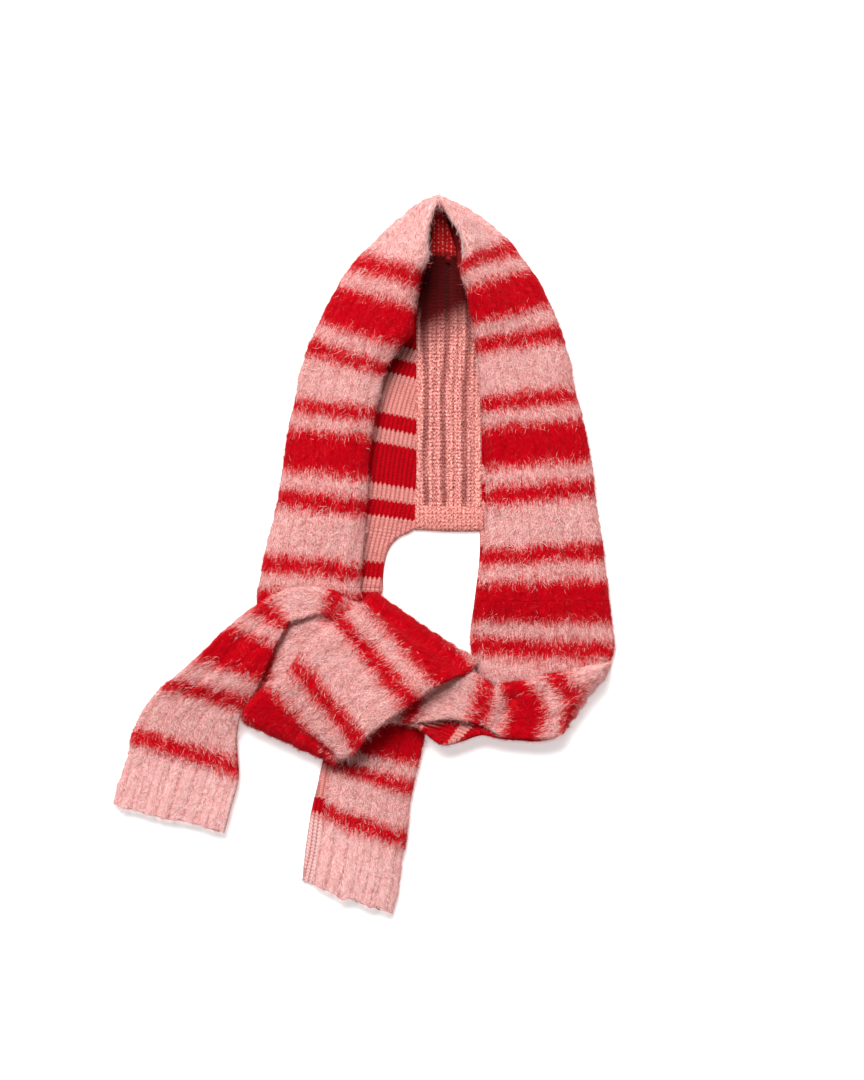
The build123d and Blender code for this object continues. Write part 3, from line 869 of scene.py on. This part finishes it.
def slab(name, top, low, facts, materials):
    """A closed sheet from a grid of top points and the height of its underside."""
    n, m = top.shape[:2]
    bottom = top.copy()
    bottom[..., 2] = low
    points = np.concatenate([top.reshape(-1, 3), bottom.reshape(-1, 3)])
    i, j = np.meshgrid(np.arange(n - 1), np.arange(m - 1), indexing="ij")
    first = (i * m + j).ravel()[:, None]
    quads = first + [0, 1, m + 1, m]
    under = quads[:, ::-1] + n * m
    rim = [*range(m), *(k * m + m - 1 for k in range(1, n))]
    rim += [*((n - 1) * m + k for k in range(m - 2, -1, -1)), *(k * m for k in range(n - 2, 0, -1))]
    walls = [[a, a + n * m, b + n * m, b] for a, b in zip(rim, rim[1:] + rim[:1])]
    faces = quads.tolist() + under.tolist() + walls
    return new_mesh(name, points, faces, materials, np.concatenate([facts, facts]))


def gusset():
    """The ribbed back panel. Past the seams at the crown it climbs to the top of the face opening."""
    step = 0.75
    y = np.arange(HEM_TOP - 4, GUSSET_TOP, step)
    left = seam_edge([(r[0], -SIDE + r[1] + 1.5) for r in LEFT_HOOD] + LEFT_TOP, y)
    right = seam_edge([(r[0], SIDE - r[1] - 1.5) for r in RIGHT_HOOD] + RIGHT_TOP, y)
    across = np.linspace(0, 1, int(2 * SIDE / step))
    x = left[:, None] + (right - left)[:, None] * across
    yy = np.broadcast_to(y[:, None], x.shape)
    climb = np.clip((yy - CLIMB_FROM) / CLIMB_RUN, 0, 1)
    sway = x + 4.0 * broad(yy / 64, x / 40 + 3) + 0.5 * middling(yy / 13, x / 11)
    z = 6.5 + CLIMB * climb**1.4 + 1.6 * broad(yy / 60, x / 40)
    deep = sum(np.exp(-(((sway - g) / 2.7) ** 2)) for g in GROOVES)
    slight = sum(np.exp(-(((sway - g) / 1.5) ** 2)) for g in HALF_GROOVES)
    deep = deep * (0.95 + 0.2 * middling(yy / 16, x / 12))
    slight = slight * (0.95 + 0.2 * middling(yy / 16, x / 12 + 1))
    z -= 4.0 * deep + 1.6 * slight
    column = np.abs((x / STITCH) % 1 - 0.5)
    row = yy / ROW + column * 0.7 + 0.5 * middling(yy / 9, x / 7)
    z += 0.5 * np.cos(2 * math.pi * row)
    z += 0.5 * np.abs(np.cos(math.pi * x / STITCH))
    z += 0.5 * middling(yy / 7, x / 5) + 0.5 * fine(yy / 2.0, x / 1.8)
    # how much painted shade each groove takes
    groove_shade = np.clip(deep + 0.5 * slight, 0, 1)
    top = np.stack([x, yy, z], axis=2)
    facts = np.stack([yy, x, groove_shade], axis=2).reshape(-1, 3)
    low = np.maximum(0.2, z - 6.0)
    return slab("gusset_cloth", top, low, facts, [GUSSET_LOOK])


def hem():
    """The turned hem at the foot of the gusset, with its fine upright ribs."""
    step = 0.9
    x = np.arange(-HEM_SIDE, HEM_SIDE + 1, step)
    v = np.linspace(0, 1, 30)
    vv, xx = np.meshgrid(v, x, indexing="ij")
    yy = HEM_FOOT - 1 + (HEM_TOP - HEM_FOOT + 2) * vv + 1.2 * broad(xx / 30, vv * 0)
    z = 1.5 + 7.0 * np.sqrt(np.clip(1 - (2 * vv - 1) ** 4, 0, 1))
    z += 0.8 * np.abs(np.cos(math.pi * xx / STITCH))
    z += 0.4 * fine(yy / 2.2, xx / 2.0)
    z += 0.35 * np.cos(2 * math.pi * yy / 3.0) - 1.2 * np.exp(-(((yy - HEM_TOP + 3) / 1.2) ** 2))
    facts = np.stack([yy, xx, np.zeros_like(xx)], axis=2).reshape(-1, 3)
    return slab("hem_cloth", np.stack([xx, yy, z], axis=2), 0.2, facts, [HEM_LOOK])


def seam(name, line):
    """A linked seam, as a cord of small twisted stitches along a line."""
    line = np.array(line, float)
    run = np.concatenate([[0], np.cumsum(np.linalg.norm(np.diff(line, axis=0), axis=1))])
    at = np.arange(0, run[-1], 0.9)
    centre = np.stack([np.interp(at, run, line[:, k]) for k in range(3)], axis=1)
    way = np.gradient(centre, axis=0)
    way /= np.linalg.norm(way, axis=1, keepdims=True)
    across = np.cross(way, (0, 0, 1.0))
    around = np.radians(np.arange(0, 360, 36))
    radius = 2.0 + 0.5 * np.abs(np.sin(math.pi * at[:, None] / ROW + around[None] / 2))
    ring = (centre[:, None] + across[:, None] * (np.cos(around) * radius)[..., None]
            + np.array([0, 0, 1.0]) * (np.sin(around) * radius)[..., None])
    n, m = ring.shape[:2]
    i, j = np.meshgrid(np.arange(n - 1), np.arange(m), indexing="ij")
    after = (j + 1) % m
    quads = np.stack([i * m + j, i * m + after, (i + 1) * m + after, (i + 1) * m + j], 2)
    quads = quads.reshape(-1, 4)
    caps = [list(range(m)), list(range(n * m - 1, (n - 1) * m - 1, -1))]
    facts = np.stack([np.repeat(centre[:, 1], m), np.tile(around * 2, n), np.zeros(n * m)], axis=1)
    return new_mesh(name, ring.reshape(-1, 3), quads.tolist() + caps, [GUSSET_LOOK], facts)


gusset_cloth, hem_cloth = gusset(), hem()
left_line = [(-SIDE + r[1], r[0], 5.0) for r in LEFT_HOOD if r[0] >= HEM_TOP]
right_line = [(SIDE - r[1], r[0], 5.0) for r in RIGHT_HOOD if r[0] >= HEM_TOP]
crown_line = [left_line[-1], (-20, 325, 4), (-10, 328, 4), (2, 326, 4), right_line[0]]
seams = {
    "left_gusset_seam": seam("left_seam_stitches", left_line),
    "right_gusset_seam": seam("right_seam_stitches", right_line),
    "crown_seam": seam("crown_seam_stitches", crown_line),
}
ribbed = {"back_gusset": gusset_cloth, "neck_hem": hem_cloth}
for slot, pieces in (("ribbed_knit", ribbed), ("linked_seam", seams)):
    for node, piece in pieces.items():
        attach(piece, "scarf")
        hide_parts(node)


# ------------------------------------------------------------------ floor, light and camera
FRAME_HEIGHT = 1.080  # what the camera sees of the table, top to bottom
VIEW_CENTRE = (-17, 48, 0)
# Each is (place from the view's centre, size in metres, watts): the soft key light, and a faint fill
LIGHTS = [((-800, 3100, 4900), 2.8, 600), ((-250, -700, 1900), 1.8, 4)]


def studio():
    """A white table under a large soft light, with the camera straight above."""
    scene = bpy.context.scene
    centre = to_frame(VIEW_CENTRE)
    bpy.ops.mesh.primitive_plane_add(size=8, location=(centre[0], centre[1], -0.0005))
    floor = bpy.context.object
    floor.name = "table"
    n = Nodes("table_white")
    n.shader.inputs["Base Color"].default_value = (0.93, 0.93, 0.93, 1)
    n.shader.inputs["Roughness"].default_value = 0.9
    n.shader.inputs["Specular IOR Level"].default_value = 0.1
    n.shader.inputs["Emission Color"].default_value = (1, 1, 1, 1)
    n.shader.inputs["Emission Strength"].default_value = 0.4
    floor.data.materials.append(n.material)

    world = bpy.data.worlds.new("studio") if scene.world is None else scene.world
    scene.world = world
    world.use_nodes = True
    world.node_tree.nodes["Background"].inputs[0].default_value = (1, 1, 1, 1)
    world.node_tree.nodes["Background"].inputs[1].default_value = 0.2

    for place, size, power in LIGHTS:
        light = bpy.data.lights.new("softbox", "AREA")
        light.size, light.energy = size, power
        lamp = link(bpy.data.objects.new("softbox", light))
        lamp.location = to_frame(np.array(VIEW_CENTRE) + np.array(place))
        aim = np.array(centre) - np.array(lamp.location)
        lamp.rotation_euler = Vector(aim).to_track_quat("-Z", "Y").to_euler()

    camera = bpy.data.cameras.new("camera")
    camera.sensor_fit = "VERTICAL"
    camera.sensor_height = 24
    camera.lens = 60
    distance = FRAME_HEIGHT * camera.lens / camera.sensor_height
    eye = link(bpy.data.objects.new("camera", camera))
    eye.location = (centre[0], centre[1], distance)
    scene.camera = eye
    scene.view_settings.view_transform = "Standard"
    scene.view_settings.exposure = 0.0


studio()
